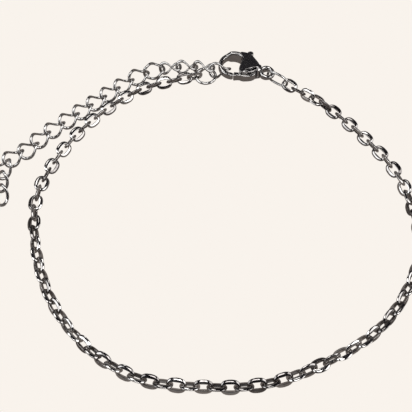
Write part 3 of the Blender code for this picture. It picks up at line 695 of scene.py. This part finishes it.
def polished_steel(name, dark, bright, roughness, grain_depth, tone_attribute=False, painted_light_attribute=False):
    """Steel whose tint wanders between two colours, with smudged gloss and a fine tumbled grain.

    Tint: slow noise plus the tone of the link's side, through a ramp. Gloss: middle noise between roughness and
    GLOSS_SPREAD times it. Grain: fine noise stretched in z as a bump of grain_depth. The clasp's painted-light number
    scales the tint from none, black as painted shade, over plain to double, a painted highlight; its upper half adds
    some roughness, which spreads the lamps' highlight over a narrow rim.
    """
    material = bpy.data.materials.new(name)
    material.use_nodes = True
    tree = material.node_tree
    shader = tree.nodes["Principled BSDF"]
    shader.inputs["Metallic"].default_value = 1.0
    place = add_node(tree, "ShaderNodeTexCoord")
    slow = add_node(tree, "ShaderNodeTexNoise", Scale=SLOW_NOISE, Detail=3.0, Roughness=0.6)
    tree.links.new(place.outputs["Object"], slow.inputs["Vector"])
    source = slow.outputs["Fac"]
    if tone_attribute:
        tone = add_node(tree, "ShaderNodeAttribute", attribute_name="tone")
        source = added(tree, scaled(tree, tone.outputs["Fac"], 0.6, -0.3), source)
    tint = ramp(tree, source, [(0.25, dark), (0.75, bright)])
    tree.links.new(tint.outputs["Color"], shader.inputs["Base Color"])
    middle = add_node(tree, "ShaderNodeTexNoise", Scale=MIDDLE_NOISE, Detail=4.0, Roughness=0.65)
    tree.links.new(place.outputs["Object"], middle.inputs["Vector"])
    gloss = spread_range(tree, middle.outputs["Fac"], 0.35, 0.70, roughness, roughness * GLOSS_SPREAD)
    tree.links.new(gloss, shader.inputs["Roughness"])
    # Painted light: where the number is high the tint is doubled as a painted highlight, and where it is zero the
    # tint is black as painted shade.
    if painted_light_attribute:
        painted_light = add_node(tree, "ShaderNodeAttribute", attribute_name="painted_light")
        colour = add_node(tree, "ShaderNodeVectorMath", operation="SCALE")
        tree.links.new(tint.outputs["Color"], colour.inputs[0])
        tree.links.new(scaled(tree, painted_light.outputs["Fac"], 2.0), colour.inputs["Scale"])
        tree.links.new(colour.outputs["Vector"], shader.inputs["Base Color"])
        softer = spread_range(tree, painted_light.outputs["Fac"], PLAIN, PAINTED_HIGHLIGHT, 0.0, RIM_SOFTNESS)
        tree.links.new(added(tree, gloss, softer), shader.inputs["Roughness"])
    squeeze = add_node(tree, "ShaderNodeMapping", Scale=(1.0, 1.0, 0.35))
    tree.links.new(place.outputs["Object"], squeeze.inputs["Vector"])
    fine = add_node(tree, "ShaderNodeTexNoise", Scale=FINE_NOISE, Detail=5.0, Roughness=0.7)
    tree.links.new(squeeze.outputs["Vector"], fine.inputs["Vector"])
    bump = add_node(tree, "ShaderNodeBump", Strength=0.35, Distance=grain_depth)
    tree.links.new(fine.outputs["Fac"], bump.inputs["Height"])
    tree.links.new(bump.outputs["Normal"], shader.inputs["Normal"])
    return material


def dress(pieces, material):
    """The material on every piece of a kind."""
    for piece in pieces:
        piece.data.materials.clear()
        piece.data.materials.append(material)


CHAIN_STEEL = polished_steel("chain steel", (0.22, 0.205, 0.20), (0.66, 0.645, 0.63), 0.08, 0.004 * MM,
                             tone_attribute=True)
EXTENDER_STEEL = polished_steel("extension steel", (0.40, 0.39, 0.38), (0.64, 0.63, 0.62), 0.07, 0.003 * MM)
RING_STEEL = polished_steel("ring steel", (0.50, 0.49, 0.48), (0.64, 0.63, 0.62), 0.06, 0.002 * MM)
CLASP_STEEL = polished_steel("clasp steel", (0.36, 0.35, 0.345), (0.50, 0.49, 0.48), 0.10, 0.003 * MM,
                             painted_light_attribute=True)
dress([chain_left, chain_right], CHAIN_STEEL)
dress(extender_links, EXTENDER_STEEL)
dress([jump_ring, connector], RING_STEEL)
dress([clasp_body, clasp_lever], CLASP_STEEL)
print("metals:", [material.name for material in (CHAIN_STEEL, EXTENDER_STEEL, RING_STEEL, CLASP_STEEL)])

# %% [markdown]
# The photograph is a pack shot: an even pale ground with no shadow, yet the steel mirrors a darker studio. So the
# floor and the sky show the camera one pale colour, and show the metal a grey-brown table under a dark ceiling, which
# turns level facets nearly black. A few soft boxes draw the white facets and the thin silver edges.

# %% Floor
FLOOR_COLOUR = (0.947, 0.896, 0.840)
# TABLE_NEAR to TABLE_FAR is the floor's glow as the metal sees it: a painted pool of light, brightest round the
# bracelet.
TABLE_NEAR = (0.235, 0.206, 0.190)
TABLE_FAR = (0.050, 0.044, 0.042)
TABLE_REACH = 0.2
FLOOR_HALF = 3.0
FLOOR_DROP = 0.02 * MM


def two_faced(tree, seen, mirrored):
    """A colour that is one thing to the camera and another to whatever mirrors it."""
    path = tree.nodes.new("ShaderNodeLightPath")
    mix = tree.nodes.new("ShaderNodeMix")
    mix.data_type = "RGBA"
    tree.links.new(path.outputs["Is Camera Ray"], mix.inputs["Factor"])
    tree.links.new(mirrored, mix.inputs["A"])
    mix.inputs["B"].default_value = (*seen, 1.0)
    return mix.outputs["Result"]


floor_mesh = bpy.data.meshes.new("floor")
floor_mesh.from_pydata([(-FLOOR_HALF, -FLOOR_HALF, 0.0), (FLOOR_HALF, -FLOOR_HALF, 0.0),
                        (FLOOR_HALF, FLOOR_HALF, 0.0), (-FLOOR_HALF, FLOOR_HALF, 0.0)], [], [(0, 1, 2, 3)])
floor = bpy.data.objects.new("floor", floor_mesh)
floor.location.z = -FLOOR_DROP
bpy.context.collection.objects.link(floor)
paper = bpy.data.materials.new("pale paper")
paper.use_nodes = True
tree = paper.node_tree
tree.nodes.remove(tree.nodes["Principled BSDF"])
glow = tree.nodes.new("ShaderNodeEmission")
place = tree.nodes.new("ShaderNodeTexCoord")
far = add_node(tree, "ShaderNodeVectorMath", operation="LENGTH")
tree.links.new(place.outputs["Object"], far.inputs[0])
# The mirrored table glows brightest near the middle and darker outwards: a painted pool of light, seen only in
# reflections.
table_ramp = ramp(tree, scaled(tree, far.outputs["Value"], 1.0 / TABLE_REACH),
                  [(0.18, TABLE_NEAR), (0.75, TABLE_FAR)])
tree.links.new(two_faced(tree, FLOOR_COLOUR, table_ramp.outputs["Color"]), glow.inputs["Color"])
tree.links.new(glow.outputs[0], tree.nodes["Material Output"].inputs["Surface"])
floor_mesh.materials.append(paper)
print("floor in m:", 2 * FLOOR_HALF, "mirrored table fades over m:", TABLE_REACH)


# %% Studio light
BOX_DISTANCE = 0.6


def soft_box(name, azimuth, elevation, width, height, radiance, colour):
    """A soft box aimed at the bracelet: azimuth 0 lies beyond it and grows to the right, elevation is above level.

    Its power is radiance times pi times its area.
    """
    a, e = math.radians(azimuth), math.radians(elevation)
    towards = Vector((math.sin(a) * math.cos(e), math.cos(a) * math.cos(e), math.sin(e)))
    lamp = bpy.data.lights.new(name, "AREA")
    lamp.shape = "RECTANGLE"
    lamp.size = width
    lamp.size_y = height
    lamp.energy = radiance * math.pi * width * height
    lamp.color = colour
    box = bpy.data.objects.new(name, lamp)
    box.location = towards * BOX_DISTANCE
    box.rotation_euler = towards.to_track_quat("Z", "Y").to_euler()
    bpy.context.collection.objects.link(box)
    return box


BOXES = [
    ("back left box", -19.0, 54.0, 0.18, 0.20, 3.5, (1.0, 0.99, 0.965)),
    ("right box", 96.0, 38.0, 0.50, 0.42, 2.6, (1.0, 0.99, 0.98)),
    ("left box", -100.0, 36.0, 0.46, 0.40, 2.4, (0.97, 0.985, 1.0)),
    ("top box", 180.0, 76.0, 0.30, 0.30, 5.0, (1.0, 0.99, 0.98)),
]
lamps = [soft_box(*values) for values in BOXES]
print("soft boxes in W:", {lamp.name: round(lamp.data.energy, 2) for lamp in lamps})

# %% The sky
world = bpy.data.worlds.new("studio")
bpy.context.scene.world = world
world.use_nodes = True
sky = world.node_tree
sky_place = sky.nodes.new("ShaderNodeTexCoord")
sky_parts = sky.nodes.new("ShaderNodeSeparateXYZ")
sky.links.new(sky_place.outputs["Generated"], sky_parts.inputs["Vector"])
sky_ramp = ramp(sky, sky_parts.outputs["Z"], [
    (0.00, (0.10, 0.09, 0.085)), (0.10, (0.30, 0.285, 0.275)), (0.28, (0.12, 0.112, 0.11)),
    (0.50, (0.030, 0.028, 0.033)), (1.00, (0.022, 0.021, 0.025)),
])
sky.links.new(two_faced(sky, FLOOR_COLOUR, sky_ramp.outputs["Color"]), sky.nodes["Background"].inputs["Color"])

# %% [markdown]
# The camera stands where the photograph was taken from: a fit of known places of the chain gave a lens of 730 pixels,
# 58.2 degrees above the table and 109.4 mm from its middle.

# %% Camera
CAMERA_ELEVATION = math.radians(58.2)
CAMERA_DISTANCE = 109.4 * MM
FOCAL_PIXELS = 730.0
PHOTO_PIXELS = 412.0
camera_data = bpy.data.cameras.new("camera")
camera_data.sensor_width = 36.0
camera_data.lens = camera_data.sensor_width * FOCAL_PIXELS / PHOTO_PIXELS
camera_data.clip_start = 1 * MM
camera = bpy.data.objects.new("camera", camera_data)
camera.location = (SHIFT[0], SHIFT[1] - CAMERA_DISTANCE * math.cos(CAMERA_ELEVATION),
                   CAMERA_DISTANCE * math.sin(CAMERA_ELEVATION))
camera.rotation_euler = (math.pi / 2 - CAMERA_ELEVATION, 0.0, 0.0)
bpy.context.collection.objects.link(camera)
bpy.context.scene.camera = camera
bpy.context.scene.view_settings.view_transform = "Standard"
print("lens in mm:", round(camera_data.lens, 2), "camera in mm:", np.round(np.array(camera.location) / MM, 1))
